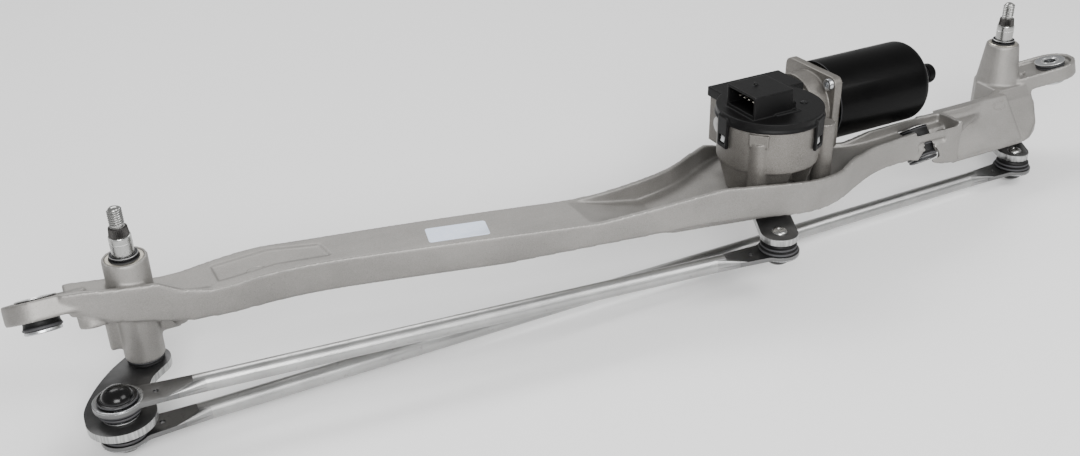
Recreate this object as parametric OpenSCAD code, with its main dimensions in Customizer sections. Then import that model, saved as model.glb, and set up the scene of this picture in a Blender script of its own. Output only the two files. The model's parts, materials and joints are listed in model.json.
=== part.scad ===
// Windshield wiper linkage: a die-cast frame with two wiper spindles, driven by a worm gear
// motor through a crank, a drive rod and a link rod.
// Frame: Z runs up along the wiper spindles, X from the left spindle to the right one,
// Y towards the rear. The origin is the top of the left spindle boss, on its axis.

/* [Layout] */
// Distance between the two wiper spindles
spindle_gap = 636; // [600:2:700]
// Radius of the crank and of both levers, from pivot to ball centre
crank_r = 50; // [44:1:54]
// Direction of the crank and levers, seen from above
crank_a = -116; // [-124:1:-108]
// Gear axis from the left spindle, along X, as a share of the spindle distance
gear_share = 0.61; // [0.59:0.005:0.63]
// Gear axis from the left spindle, along Y
gear_y = -43; // [-46:1:-40]

/* [Spindles] */
// Radius of the spindle shaft
shaft_r = 6; // [5:0.5:6.5]
// Height of the spindle tip over the boss
tip_h = 30; // [26:1:34]
// Radius of the thread crest at the tip
thread_r = 4; // [3:1:5]
// Length of the thread
thread_l = 11.4; // [9:0.2:13]
// Length of the knurled cone
knurl_l = 5.2; // [4:0.2:7]
// Length of a spindle boss
boss_l = 62; // [58:1:66]
// Running clearance of a shaft in its bush
run_gap = 0.04; // [0.02:0.01:0.08]

/* [Linkage] */
// Outer radius of the rod tubes
rod_r = 5.2; // [4.4:0.2:6]
// Wall thickness of the rod tubes
rod_wall = 1.4; // [1:0.1:1.8]
// Radius of the balls
ball_r = 6.5; // [5.5:0.5:7]
// Thickness of levers and crank arm
plate_t = 4.5; // [3.5:0.5:5]
// Ball centre over or under its plate
ball_h = 8.5; // [8.5:0.5:10]

/* [Frame] */
// Wall thickness of the casting
wall = 3.5; // [2.5:0.5:4]
// Height of the beam's side walls
beam_h = 19; // [17:1:20]
// Depth of the top of the beam under the boss tops
beam_z = -24; // [-26:1:-22]
// Inner radius of the mounting sleeves
sleeve_r = 4.25; // [3.25:0.25:4.75]
// Radius of the rubber grommets
grommet_r = 10.4; // [9.5:0.1:11.5]

/* [Motor] */
// Outer radius of the motor yoke
yoke_r = 27.6; // [26:0.2:28]
// Length of the motor yoke
yoke_l = 79; // [70:1:84]
// Radius of the gearbox cover
cover_r = 33.5; // [33:0.5:34.5]
// Offset of the worm axis behind the gear axis
worm_off = 30.6; // [30:0.2:31.4]
// Teeth of the worm wheel
wheel_teeth = 54; // [46:1:60]

/* [Hidden] */
$fn = 48;

free = 0.4;                                   // gap kept between pieces that move past each other
gear_x = round(gear_share * spindle_gap);
arm = [crank_r * cos(crank_a), crank_r * sin(crank_a)];
crank_ball = [gear_x, gear_y] + arm;
right_ball = [spindle_gap, 0] + arm;
rod_vec = crank_ball - arm;
rod_len = norm(rod_vec);
rod_ang = atan2(rod_vec[1], rod_vec[0]);

// heights
lever_top = -boss_l - 4;
lever_bot = lever_top - plate_t;
drive_z = lever_top + ball_h;
link_z = lever_bot - ball_h;
crank_bot = drive_z + ball_h;
crank_top = crank_bot + plate_t;
floor_z = -36;                                // top of the tray floor
worm_z = -3.6;
worm_y = gear_y + worm_off;
cover_top = 19;
cover_bot = 12.6;
shroud_top = 33.6;

// motor stations along X
worm_end = gear_x - 15;
flange_x = gear_x + 56;
yoke_x = flange_x + 6;
yoke_end = yoke_x + yoke_l;

// tilt of the rubber-mounted pads against the spindle axis
left_tilt = [-27, 0, 0];
middle_tilt = [-40, 0, 0];
right_tilt = [-9, -10, 0];
left_pad = [-47, 7, -22];
middle_pad = [spindle_gap - 110, -35, -15.9 - yoke_r];
right_pad = [spindle_gap + 43, -11, -26];
right_ear_a = 160;                            // direction from the right ear to the block

function cat_rom(p, n) = concat([for (i = [0:len(p) - 2], k = [0:n - 1])
    let (a = p[max(i - 1, 0)], b = p[i], c = p[i + 1], d = p[min(i + 2, len(p) - 1)], t = k / n)
    0.5 * (2 * b + (c - a) * t + (2 * a - 5 * b + 4 * c - d) * t * t
        + (3 * b - a - 3 * c + d) * t * t * t)], [p[len(p) - 1]]);
function normal_at(p, i) = let (a = p[max(i - 1, 0)], b = p[min(i + 1, len(p) - 1)], v = b - a)
    [-v[1], v[0]] / norm(v);
function side(p, d) = [for (i = [0:len(p) - 1]) p[i] + d * normal_at(p, i)];
function flip(p) = [for (i = [len(p) - 1:-1:0]) p[i]];

// ---------------------------------------------------------------- frame outlines
// front and rear edges of the casting in plan; the middle part follows the gearbox and the
// right part follows the right spindle
g = gear_x;
w = spindle_gap;
front_pts = [[-36, -8.4], [-26, -11], [-13, -14], [4, -15], [26, -16], [48, -17], [70, -15], [100, -18], [140, -27],
    [200, -42], [g - 130, -57], [g - 95, -65], [g - 60, -72], [g - 30, -78], [g + 5, -82],
    [g + 30, -77], [g + 54, -66], [g + 78, -56], [g + 98, -51.5], [w - 126, -49],
    [w - 100, -48], [w - 82, -47.4]];
rear_pts = [[-13, 14], [4, 15], [25, 13], [48, 17], [72, 19], [98, 14], [150, 4], [210, -9],
    [g - 130, -20], [g - 95, -20], [g - 55, -13], [g - 22, 3], [g, 10], [g + 24, 10],
    [g + 50, -2], [g + 72, -20], [g + 96, -25], [w - 112, -23], [w - 86, -24], [w - 48, -24],
    [w - 16, -15]];
front_edge = cat_rom(front_pts, 3);
rear_edge = cat_rom(rear_pts, 3);

// side view of the casting: upper edge and lower edge along X
front_top = [[-36, -9.6], [-24, -9], [-13, -10], [12, -13], [24, -20], [40, beam_z], [g - 130, beam_z],
    [g - 66, -16], [g - 52, -14.5], [g - 33, -16], [g - 8, -18.5], [g + 20, -22], [g + 40, -25],
    [g + 54, -23.5], [w - 150, -26.5], [w - 84, -28], [w + 20, -28]];
low_edge = [[-36, -20], [-26, -22], [-13, -30], [26, beam_z - beam_h + 3], [70, beam_z - beam_h], [200, beam_z - beam_h],
    [g - 130, -39], [g - 66, -36], [g - 36, -37], [g - 8, -40.4], [g + 20, -43], [g + 50, -45.5],
    [w - 150, -45.5], [w - 128, -47], [w - 112, -52], [w - 97, -57.5], [w - 78, -60.5],
    [w + 20, -61.5]];
rear_top = [[-13, beam_z], [g - 16, beam_z], [g + 8, -33], [g + 80, -33], [g + 100, -28.5],
    [w + 20, -29.5]];
web_top = [[-13, beam_z], [g - 134, beam_z], [g - 84, floor_z], [g + 60, floor_z],
    [w - 84, -35.5], [w + 20, -35.5]];

module side_band(top, low) {
    translate([0, 60, 0]) rotate([90, 0, 0]) linear_extrude(160) polygon(concat(top, flip(low)));
}

module front_wall() {
    intersection() {
        translate([0, 0, -70]) linear_extrude(80)
            polygon(concat(front_edge, flip(side(front_edge, wall))));
        side_band(front_top, low_edge);
    }
}

module rear_wall() {
    intersection() {
        translate([0, 0, -70]) linear_extrude(80)
            polygon(concat(rear_edge, flip(side(rear_edge, -wall))));
        side_band(rear_top, low_edge);
    }
}

// plan of the beam between the middles of its walls
module beam_plan() {
    translate([0, 0, -70]) linear_extrude(80)
        polygon(concat(side(front_edge, wall / 2), flip(side(rear_edge, -wall / 2))));
}

module web() {
    intersection() {
        beam_plan();
        side_band(web_top, [for (p = web_top) p - [0, wall]]);
    }
}

// rib across the beam, from wall to wall
module cross_rib(x, y0, y1, z0, z1) {
    translate([x - 1.5, y0, z0]) cube([3, y1 - y0, z1 - z0]);
}

module stadium(r, l) {
    circle(r);
    translate([0, -r]) square([l, 2 * r]);
}

// mounting ear with a raised rim above and below its web
module ear(l) {
    difference() {
        translate([0, 0, -5.5]) linear_extrude(11) stadium(17.5, l);
        translate([0, 0, 2]) linear_extrude(4) stadium(14.5, l - 8);
        translate([0, 0, -6]) linear_extrude(4) stadium(14.5, l - 8);
    }
}

module at_left_pad() { translate(left_pad) rotate(left_tilt) children(); }
module at_middle_pad() { translate(middle_pad) rotate(middle_tilt) children(); }
module at_right_pad() { translate(right_pad) rotate(right_tilt) children(); }

grommet_hole_r = grommet_r - 2.4;

// hollow block that carries the right spindle, seen from the end
module block_shape(grow) {
    prof = [[14, -30], [-18, -30], [-20, -39], [-31, -49], [-45, -61.5], [14, -61.5]];
    offs = [[-1, -1], [1, -1], [1, -1.6], [0.8, -1.8], [1, -0.5], [-1, -0.5]];
    rotate([90, 0, 90]) linear_extrude(46)
        polygon([for (i = [0:5]) prof[i] + grow * offs[i]]);
}

// plan of the block, cut back at the front right where it follows the boss
module block_plan(grow) {
    t = grow;
    polygon([[w - 17 + t, 4], [w - 9 + t, 14], [w + 14, 14], [w + 19 - t, 10], [w + 19 - t, -12],
        [w + 16 - t, -24 + t], [w + 8 - t, -35 + t], [w - 4, -42 + t], [w - 17 + t, -46]]);
}

module right_block() {
    difference() {
        intersection() {
            translate([w - 22, 0, 0]) block_shape(0);
            translate([0, 0, -62]) linear_extrude(40) block_plan(0);
        }
        intersection() {
            translate([w - 22, 0, -0.3]) block_shape(3.6);
            translate([0, 0, -64]) linear_extrude(40) block_plan(3.6);
        }
    }
}

// slanted face of the beam between the middle mount and the block
module shoulder() {
    translate([w - 85, 0, 0]) rotate([90, 0, 90]) linear_extrude(68) polygon([[-20.6, -29.5],
        [-26, -29.5], [-46.6, -57], [-46.6, -60.6], [-43.6, -60.6], [-43.6, -58], [-23, -33]]);
    translate([w - 85, 0, 0]) rotate([90, 0, 90]) linear_extrude(3.5) polygon([[-22, -29.5],
        [-38, -28], [-47.4, -29], [-47.4, -58], [-22, -58]]);
}

module frame_casting() {
    color([0.62, 0.60, 0.57]) difference() {
        union() {
            front_wall();
            rear_wall();
            web();
            // left boss and its stiffening ribs
            translate([0, 0, -25]) cylinder(r = 12, h = 25);
            translate([0, 0, -boss_l]) cylinder(r = 11, h = boss_l - 24);
            translate([-17, -2.2, -54]) cube([12, 4.4, 30]);
            translate([8, -2.2, -50]) cube([14, 4.4, 26]);
            translate([21, -8, -43]) cylinder(r = 4.4, h = 18);
            // ear and its neck to the boss
            at_left_pad() ear(24);
            hull() {
                translate([-33, -9, -23]) cube([3, 22, 9]);
                translate([-12, -13, -31]) cube([3, 26, 14]);
            }
            translate([-22, -6, -33]) rotate([-20, 0, 0]) cylinder(r = 8, h = 10);
            // right block, boss and ear
            right_block();
            shoulder();
            translate([w, 0, -31]) rotate_extrude()
                polygon([[0, 0], [15.5, 0], [11.6, 29.6], [11, 30.2], [0, 30.2]]);
            translate([w, 0, -boss_l]) cylinder(r = 11, h = boss_l - 30);
            at_right_pad() rotate([0, 0, right_ear_a]) ear(34);
            translate([w + 12, -10, -36]) cube([7, 26, 12]);
            // middle mounting pad inside the beam
            at_middle_pad() translate([0, 0.2, 0]) cube([34, 25.6, 4], center = true);
            // gearbox seats under the tray floor
            for (v = gear_bolts)
                translate([g, gear_y, floor_z - 4.4] + v) cylinder(r = 7, h = 4.4);
            translate([g, gear_y, floor_z - 4.4]) cylinder(r = 19, h = 4.4);
            // cross ribs of the beam
            intersection() {
                for (k = [0:4]) cross_rib(60 + 36 * k, -60, 30, beam_z - 13, beam_z - 2);
                beam_plan();
            }
        }
        translate([0, 0, -70]) cylinder(r = shaft_r + 2.5, h = 75);
        translate([0, 0, -1.9]) cylinder(r = 10.2, h = 3);
        translate([w, 0, -70]) cylinder(r = shaft_r + 2.5, h = 75);
        translate([w, 0, -1.9]) cylinder(r = 10.2, h = 3);
        at_left_pad() cylinder(r = grommet_hole_r, h = 30, center = true);
        at_right_pad() cylinder(r = grommet_hole_r, h = 30, center = true);
        at_middle_pad() {
            cylinder(r = grommet_hole_r, h = 20, center = true);
            translate([0, 0, 2]) cylinder(r = grommet_r + 1, h = 9.5);
            translate([0, 0, -14]) cylinder(r = grommet_r + 1, h = 12);
            translate([0, 0, -40]) cylinder(r = sleeve_r + 1.5, h = 30);
        }
        // notch over the middle pad and window under it, in the front wall
        at_middle_pad() {
            translate([-15, -26, 2]) cube([40, 22, 20]);
            translate([-12, -26, -8]) cube([26, 15, 5.6]);
        }
        // output boss passes through the tray floor
        translate([g, gear_y, -60]) cylinder(r = 12, h = 40);
        for (v = gear_bolts)
            translate([g, gear_y, -60] + v) cylinder(r = 3.2, h = 40);
        // clearance for the worm tunnel and the yoke over the rear wall
        along_motor(yoke_x - 8) cylinder(r = yoke_r + 1, h = yoke_l + 12);
        translate([g - 30, worm_y - 20, -24.5]) cube([130, 42, 20]);
        // shallow recess on the beam
        translate([44, -12, beam_z - 1]) linear_extrude(3)
            polygon([[0, 3], [34, 6], [64, 0], [62, 16], [34, 25], [0, 22]]);
    }
}

// ---------------------------------------------------------------- rubber mounts
module grommet(under, over = 3.4) {
    color([0.06, 0.06, 0.06]) difference() {
        union() {
            translate([0, 0, 2]) cylinder(r = grommet_r, h = over);
            translate([0, 0, -2]) cylinder(r = grommet_hole_r, h = 4);
            translate([0, 0, -2 - under]) cylinder(r = grommet_r, h = under);
        }
        translate([0, 0, -20]) cylinder(r = sleeve_r + 1.75, h = 40);
    }
}

module sleeve(under, over = 3.4) {
    color([0.78, 0.79, 0.80]) difference() {
        union() {
            translate([0, 0, -3 - under]) cylinder(r = sleeve_r + 1.75, h = 5 + over + under);
            translate([0, 0, 2 + over]) cylinder(r = grommet_r + 0.4, h = 1);
            translate([0, 0, -4 - under]) cylinder(r = grommet_r - 0.6, h = 2);
        }
        translate([0, 0, -20]) cylinder(r = sleeve_r, h = 40);
    }
}

module left_grommet() { at_left_pad() grommet(8.5); }
module middle_grommet() { at_middle_pad() grommet(9, 7.5); }
module right_grommet() { at_right_pad() grommet(6); }
module left_sleeve() { at_left_pad() sleeve(8.5); }
module middle_sleeve() { at_middle_pad() sleeve(9, 7.5); }
module right_sleeve() { at_right_pad() sleeve(6); }

// ---------------------------------------------------------------- spindle bearings
bush_bore = shaft_r + run_gap;
module spindle_bushes(x) {
    color([0.66, 0.55, 0.36]) translate([x, 0, 0]) {
        difference() {
            union() {
                translate([0, 0, -16]) cylinder(r = shaft_r + 2.5, h = 15);
                translate([0, 0, -1.9]) cylinder(r = 10.2, h = 1.5);
            }
            translate([0, 0, -20]) cylinder(r = bush_bore, h = 30);
        }
        difference() {
            translate([0, 0, -boss_l]) cylinder(r = shaft_r + 2.5, h = 16);
            translate([0, 0, -boss_l - 5]) cylinder(r = bush_bore, h = 30);
        }
    }
}

module dust_seals(x) {
    color([0.05, 0.05, 0.05]) translate([x, 0, 0]) {
        difference() {
            translate([0, 0, -boss_l - 3]) cylinder(r = 10.2, h = 3);
            translate([0, 0, -boss_l - 5]) cylinder(r = shaft_r + free, h = 8);
        }
        translate([0, 0, -0.4]) difference() {
            cylinder(r = 8.2, h = 0.9);
            translate([0, 0, -1]) cylinder(r = shaft_r + free, h = 4);
        }
    }
}

module left_spindle_bushes() { spindle_bushes(0); }
module right_spindle_bushes() { spindle_bushes(w); }
module left_dust_seals() { dust_seals(0); }
module right_dust_seals() { dust_seals(w); }

module part_label() {
    color([0.90, 0.92, 0.95]) translate([161.5, -27.5, beam_z]) rotate([0, 0, -13])
        linear_extrude(0.2) square([36, 17]);
}

// ---------------------------------------------------------------- gearbox
gear_bolts = [for (q = [[28, -138], [36, -24], [27, 85]]) q[0] * [cos(q[1]), sin(q[1]), 0]];
bowl_r = cover_r - 1.5;

module gearbox_housing() {
    color([0.55, 0.53, 0.49]) difference() {
        union() {
            translate([g, gear_y, -15]) cylinder(r = bowl_r, h = 15 + cover_bot);
            translate([g, gear_y, -32]) rotate_extrude()
                polygon([[0, -3.7], [25, -3.7], [bowl_r - 1, 17.5], [0, 17.5]]);
            translate([g, gear_y, -40]) cylinder(r = 10, h = 24);
            for (v = gear_bolts)
                translate([g, gear_y, floor_z] + v) cylinder(r = 6.4, h = 41);
            // cast pad over the front screw boss
            translate([g, gear_y, 0]) rotate([0, 0, -138])
                translate([bowl_r - 1.5, -6, 3]) cube([2.6, 12, 8]);
            // latch nubs for the cover clips
            for (a = clip_angles) translate([g, gear_y, 0]) rotate([0, 0, a])
                translate([bowl_r - 1, -2.6, clip_low + 3]) cube([2.2, 5.2, 4.4]);
            // worm tunnel, motor flange and brush dome
            translate([worm_end, worm_y - 12, -18]) cube([flange_x - worm_end, 24, 18 + cover_bot]);
            along_motor(flange_x) linear_extrude(6) flange_outline();
            along_motor(flange_x - 13) cylinder(r = 22.6, h = 14);
        }
        // wheel chamber
        translate([g, gear_y, -12]) cylinder(r = bowl_r - 3, h = 30);
        // worm bore and bearing seat
        along_motor(worm_end - 10) cylinder(r = 6, h = 29);
        along_motor(worm_end + 4) cylinder(r = 8, h = flange_x - worm_end);
        // space for the commutator and brushes
        along_motor(flange_x - 6) cylinder(r = 18.5, h = 14);
        translate([g, gear_y, -50]) cylinder(r = 7.5, h = 60);
        // opening in the skirt between the front screw bosses
        translate([g, gear_y, -36.5]) rotate([0, 0, -72]) translate([11, -13, 0]) cube([30, 26, 21]);
        for (v = gear_bolts)
            translate([g, gear_y, -37] + v) cylinder(r = 2.5, h = 16);
        for (s = [-1, 1]) along_motor(flange_x - 1) rotate([0, 0, -45])
            translate([0, s * flange_bolt, 0]) cylinder(r = 2.1, h = 9);
    }
}

// rounded square flange that carries the yoke
flange_bolt = 29;
module flange_outline() {
    for (a = [45:90:315]) rotate(a) translate([flange_bolt, 0]) circle(5);
    square([51, 41], center = true);
    square([41, 51], center = true);
}

clip_angles = [176, -62, 20];
clip_low = -3.4;                              // lower edge of the cover's clip loops

// outline of the cover: round over the wheel, square over the worm tunnel
module cover_outline(grow) {
    circle(r = bowl_r + grow, $fn = 96);
    translate([worm_end - g - grow, worm_off - 12 - grow]) square([55 + grow, 24 + 2 * grow]);
}

module gearbox_cover() {
    color([0.05, 0.05, 0.055]) translate([g, gear_y, 0]) difference() {
        union() {
            translate([0, 0, cover_top - 3]) linear_extrude(3) cover_outline(1.5);
            difference() {
                translate([0, 0, cover_bot]) linear_extrude(cover_top - cover_bot - 2)
                    cover_outline(1.5);
                translate([0, 0, cover_bot - 1]) linear_extrude(cover_top - cover_bot)
                    cover_outline(-1);
            }
            // clip loops
            for (a = clip_angles) rotate([0, 0, a]) difference() {
                translate([bowl_r + 0.3, -5.4, clip_low]) cube([2, 10.8, cover_top - clip_low - 2]);
                translate([bowl_r - 1, -3.2, clip_low + 2.6]) cube([5, 6.4, 5.4]);
            }
            // connector shroud with its foot
            translate([-25, -17, cover_top + 0.6]) cube([29, 28.6, shroud_top - cover_top - 0.6]);
            translate([-13, -14, cover_top - 1]) cube([22, 28, 6]);
        }
        // mouth of the connector
        translate([-26, -15.2, cover_top + 2.4]) cube([23, 25, shroud_top - cover_top - 4.2]);
        pin_blades();
    }
}

module pin_blades() {
    for (i = [0:4]) translate([-19, -3.5 + 4.6 * (i - 2), 26]) cube([18, 1.6, 0.8]);
}

module connector_pins() {
    color([0.75, 0.72, 0.66]) translate([g, gear_y, 0]) pin_blades();
}

// printed contact plate under the cover
module contact_plate() {
    color([0.10, 0.32, 0.16]) translate([g, gear_y, 10]) difference() {
        cylinder(r = bowl_r - 3.4, h = 1.6);
        translate([0, 0, -1]) cylinder(r = 6, h = 4);
    }
}

module output_bush() {
    color([0.66, 0.55, 0.36]) translate([g, gear_y, 0]) difference() {
        translate([0, 0, -40]) cylinder(r = 7.5, h = 27);
        translate([0, 0, -50]) cylinder(r = out_r + run_gap, h = 50);
    }
}

module thrust_screw() {
    color([0.70, 0.70, 0.68]) along_motor(worm_end - 1.2) {
        cylinder(r = 6, h = 5.2);
        translate([0, 0, -0.4]) cylinder(r = 3.4, h = 2);
    }
}

module gearbox_screws() {
    color([0.70, 0.71, 0.72]) for (v = gear_bolts)
        translate([g, gear_y, floor_z - 4.4] + v) {
            translate([0, 0, -1.4]) cylinder(r = 5, h = 1.4);
            translate([0, 0, -1.4]) cylinder(r = 2.5, h = 18);
        }
}

// ---------------------------------------------------------------- motor
module along_motor(x) { translate([x, worm_y, worm_z]) rotate([0, 90, 0]) children(); }

module motor_yoke() {
    color([0.02, 0.02, 0.02]) along_motor(yoke_x) difference() {
        rotate_extrude($fn = 96) polygon(concat(
            [[0, 0], [yoke_r, 0]],
            [for (a = [0:15:90]) [yoke_r - 8 + 8 * cos(a), yoke_l - 8 + 8 * sin(a)]],
            [[11, yoke_l + 4], [7.4, yoke_l + 6], [7, yoke_l + 22], [5.5, yoke_l + 24], [0, yoke_l + 24]]));
        translate([0, 0, -1]) cylinder(r = yoke_r - 2.2, h = yoke_l - 7);
        translate([0, 0, -1]) cylinder(r = yoke_r - 9, h = yoke_l - 1);
        translate([0, 0, -1]) cylinder(r = 5.4, h = yoke_l + 23);
    }
}

module motor_magnets() {
    color([0.20, 0.20, 0.21]) along_motor(yoke_x + 14) for (s = [0, 180]) rotate([0, 0, s])
        intersection() {
            difference() {
                cylinder(r = yoke_r - 2.2, h = 50);
                translate([0, 0, -1]) cylinder(r = yoke_r - 7.2, h = 52);
            }
            translate([4, -40, -1]) cube([40, 80, 52]);
        }
}

module brush_card() {
    color([0.35, 0.20, 0.12]) along_motor(flange_x + 1) difference() {
        cylinder(r = 18.5, h = 3);
        translate([0, 0, -1]) cylinder(r = 10.6, h = 5);
    }
}

module motor_bearings() {
    color([0.66, 0.55, 0.36]) {
        along_motor(flange_x - 16) difference() {
            cylinder(r = 8, h = 9);
            translate([0, 0, -1]) cylinder(r = 4 + run_gap, h = 12);
        }
        along_motor(yoke_end + 6) difference() {
            cylinder(r = 5.4, h = 10);
            translate([0, 0, -1]) cylinder(r = 3 + run_gap, h = 12);
        }
    }
}

module yoke_screws() {
    color([0.74, 0.74, 0.74]) for (s = [-1, 1]) along_motor(flange_x - 3) rotate([0, 0, -45])
        translate([0, s * flange_bolt, 0]) {
            cylinder(r = 3.9, h = 3);
            cylinder(r = 2.1, h = 9);
        }
}

module armature_shaft() {
    color([0.72, 0.72, 0.74]) {
        along_motor(worm_end + 4.4) cylinder(r = 3.4, h = 4);
        along_motor(worm_end + 8) cylinder(r = 4.1, h = 22);
        along_motor(worm_end + 29) cylinder(r = 4, h = flange_x - worm_end - 3);
        along_motor(flange_x + 18) cylinder(r = 3, h = yoke_end + 16 - flange_x - 18);
    }
}

module armature_core() {
    color([0.45, 0.45, 0.47]) along_motor(yoke_x + 18) difference() {
        cylinder(r = yoke_r - 8, h = 42);
        translate([0, 0, -1]) cylinder(r = 4, h = 4);
        translate([0, 0, -1]) cylinder(r = 3, h = 60);
        for (k = [0:11]) rotate([0, 0, 30 * k]) translate([yoke_r - 12, -1.2, -1]) cube([8, 2.4, 50]);
    }
}

module armature_windings() {
    color([0.72, 0.38, 0.16]) {
        along_motor(yoke_x + 11) difference() {
            cylinder(r = 15, h = 7);
            translate([0, 0, -1]) cylinder(r = 4, h = 10);
        }
        along_motor(yoke_x + 60) difference() {
            cylinder(r = 15, h = 7);
            translate([0, 0, -1]) cylinder(r = 3, h = 10);
        }
    }
}

module commutator() {
    color([0.80, 0.52, 0.28]) along_motor(flange_x) difference() {
        cylinder(r = 9, h = 14);
        translate([0, 0, -1]) cylinder(r = 4, h = 20);
    }
}

// ---------------------------------------------------------------- crank
out_r = 5;
module output_shaft() {
    color([0.72, 0.72, 0.74]) translate([g, gear_y, 0]) {
        translate([0, 0, crank_bot - 5]) cylinder(r = out_r - 1, h = 6);
        translate([0, 0, crank_bot]) cylinder(r = out_r, h = -crank_bot + 5);
    }
}

module worm_wheel() {
    r_tip = worm_off - 4.1 - free;
    color([0.86, 0.83, 0.74]) translate([g, gear_y, worm_z - 5.4]) difference() {
        linear_extrude(10.8) polygon([for (k = [0:wheel_teeth - 1], q = [0:3])
            let (a = 360 / wheel_teeth * (k + [0, 0.28, 0.5, 0.78][q]), r = r_tip - [0, 0, 2, 2][q])
            r * [cos(a), sin(a)]]);
        translate([0, 0, -1]) cylinder(r = out_r, h = 20);
        translate([0, 0, 8]) difference() {
            cylinder(r = 20, h = 5);
            translate([0, 0, -1]) cylinder(r = 9, h = 8);
        }
    }
}

// plate between two eyes
module plate(v, r0, r1, neck) {
    a = atan2(v[1], v[0]);
    l = norm(v);
    circle(r0);
    translate(v) circle(r1);
    rotate(a) polygon([[0, -min(r0, neck)], [l, -min(r1, neck)], [l, min(r1, neck)],
        [0, min(r0, neck)]]);
}

module crank_arm() {
    color([0.42, 0.43, 0.44]) translate([g, gear_y, crank_bot]) difference() {
        linear_extrude(plate_t) plate(arm, 13, 11.5, 11.5);
        translate([0, 0, -1]) cylinder(r = out_r, h = 10);
        translate([arm[0], arm[1], -1]) cylinder(r = stud_r, h = 10);
    }
}

module crank_nut() {
    color([0.75, 0.76, 0.77]) translate([g, gear_y, crank_bot - 5]) difference() {
        cylinder(r = 7.5, h = 5, $fn = 6);
        translate([0, 0, -1]) cylinder(r = out_r - 1, h = 8);
    }
}

// ---------------------------------------------------------------- ball studs
stud_r = 3.5;
// stud with its ball on -Z, rivet head on the far side of the plate
module ball_stud(t) {
    color([0.80, 0.80, 0.80]) rotate_extrude() polygon(concat(
        [[0, t + 1.8], [2.6, t + 1.8], [4.6, t + 1], [4.9, t], [stud_r, t], [stud_r, 0], [5, 0],
            [5, -1], [3.6, -1.6]],
        [for (a = [56:-146 / 14:-90]) ball_r * [cos(a), sin(a)] + [0, -ball_h]]));
}

module crank_ball_stud() {
    translate([crank_ball[0], crank_ball[1], crank_bot]) ball_stud(plate_t);
}
// stud riveted through the lever, with a ball on each side
module left_double_stud() {
    half = concat([[stud_r, 0], [stud_r, plate_t / 2], [5, plate_t / 2], [5, plate_t / 2 + 1],
        [3.6, plate_t / 2 + 1.6]], [for (a = [-56:146 / 14:90])
            ball_r * [cos(a), sin(a)] + [0, plate_t / 2 + ball_h]]);
    color([0.80, 0.80, 0.80]) translate([arm[0], arm[1], (lever_top + lever_bot) / 2])
        rotate_extrude() polygon(concat(half, [for (i = [len(half) - 1:-1:1])
            [half[i][0], -half[i][1]]]));
}
module right_ball_stud() {
    translate([right_ball[0], right_ball[1], lever_bot]) ball_stud(plate_t);
}

// ---------------------------------------------------------------- spindles and levers
module spindle(x) {
    color([0.72, 0.73, 0.74]) translate([x, 0, 0]) rotate_extrude($fn = 64) polygon([
        [0, tip_h], [thread_r - 1.2, tip_h], [thread_r - 0.2, tip_h - 1.2],
        [thread_r, tip_h - 1.8], [thread_r, tip_h - thread_l],
        [thread_r + 0.9, tip_h - thread_l - 0.6], [shaft_r - 0.6, tip_h - thread_l - knurl_l],
        [shaft_r - 0.1, tip_h - thread_l - knurl_l - 1], [shaft_r, 8], [shaft_r, 3],
        [shaft_r, 2], [shaft_r, lever_top + 0.3], [shaft_r + 0.6, lever_top],
        [shaft_r - 0.8, lever_top], [shaft_r - 0.8, lever_bot], [shaft_r + 1.4, lever_bot],
        [shaft_r + 1.4, lever_bot - 1], [shaft_r - 1, lever_bot - 1.8], [0, lever_bot - 1.8]]);
}

module collar_ring(x) {
    color([0.15, 0.15, 0.16]) translate([x, 0, 1]) difference() {
        cylinder(r = shaft_r + 1.7, h = 1.2);
        translate([0, 0, -1]) cylinder(r = shaft_r, h = 4);
    }
}

module left_spindle() { spindle(0); }
module right_spindle() { spindle(w); }
module left_collar_ring() { collar_ring(0); }
module right_collar_ring() { collar_ring(w); }

// hook-shaped lever: round about the spindle, curling into a disc under the balls
module left_lever() {
    disc_r = 18;
    color([0.42, 0.43, 0.44]) translate([0, 0, lever_bot]) difference() {
        linear_extrude(plate_t) union() {
            circle(13);
            translate(arm) circle(r = disc_r, $fn = 96);
            polygon(concat(
                cat_rom([[-9.2, 9.2], [-20, -1], [-31, -16], [-38.6, -32], arm + [-18, 0]], 6),
                [arm],
                cat_rom([arm + [12.7, 12.7], [-4.6, -27], [0, -18], [9.2, -9.2]], 6)));
        }
        translate([0, 0, -1]) cylinder(r = shaft_r - 0.8, h = 10);
        translate([arm[0], arm[1], -1]) cylinder(r = stud_r, h = 10);
    }
}

module right_lever() {
    color([0.42, 0.43, 0.44]) translate([w, 0, lever_bot]) difference() {
        linear_extrude(plate_t) union() {
            circle(14);
            translate(arm) circle(10);
            polygon([[-13, 5], arm + [-10.4, 4], arm + [-9.6, -2.5], arm + [2, -9.8],
                arm + [9, -5], [13.6, -3.3]]);
        }
        translate([0, 0, -1]) cylinder(r = shaft_r - 0.8, h = 10);
        translate([arm[0], arm[1], -1]) cylinder(r = stud_r, h = 10);
    }
}

// ---------------------------------------------------------------- rods
eye_r = 13;
socket_r = 9;
flat_t = 2.8;
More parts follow.
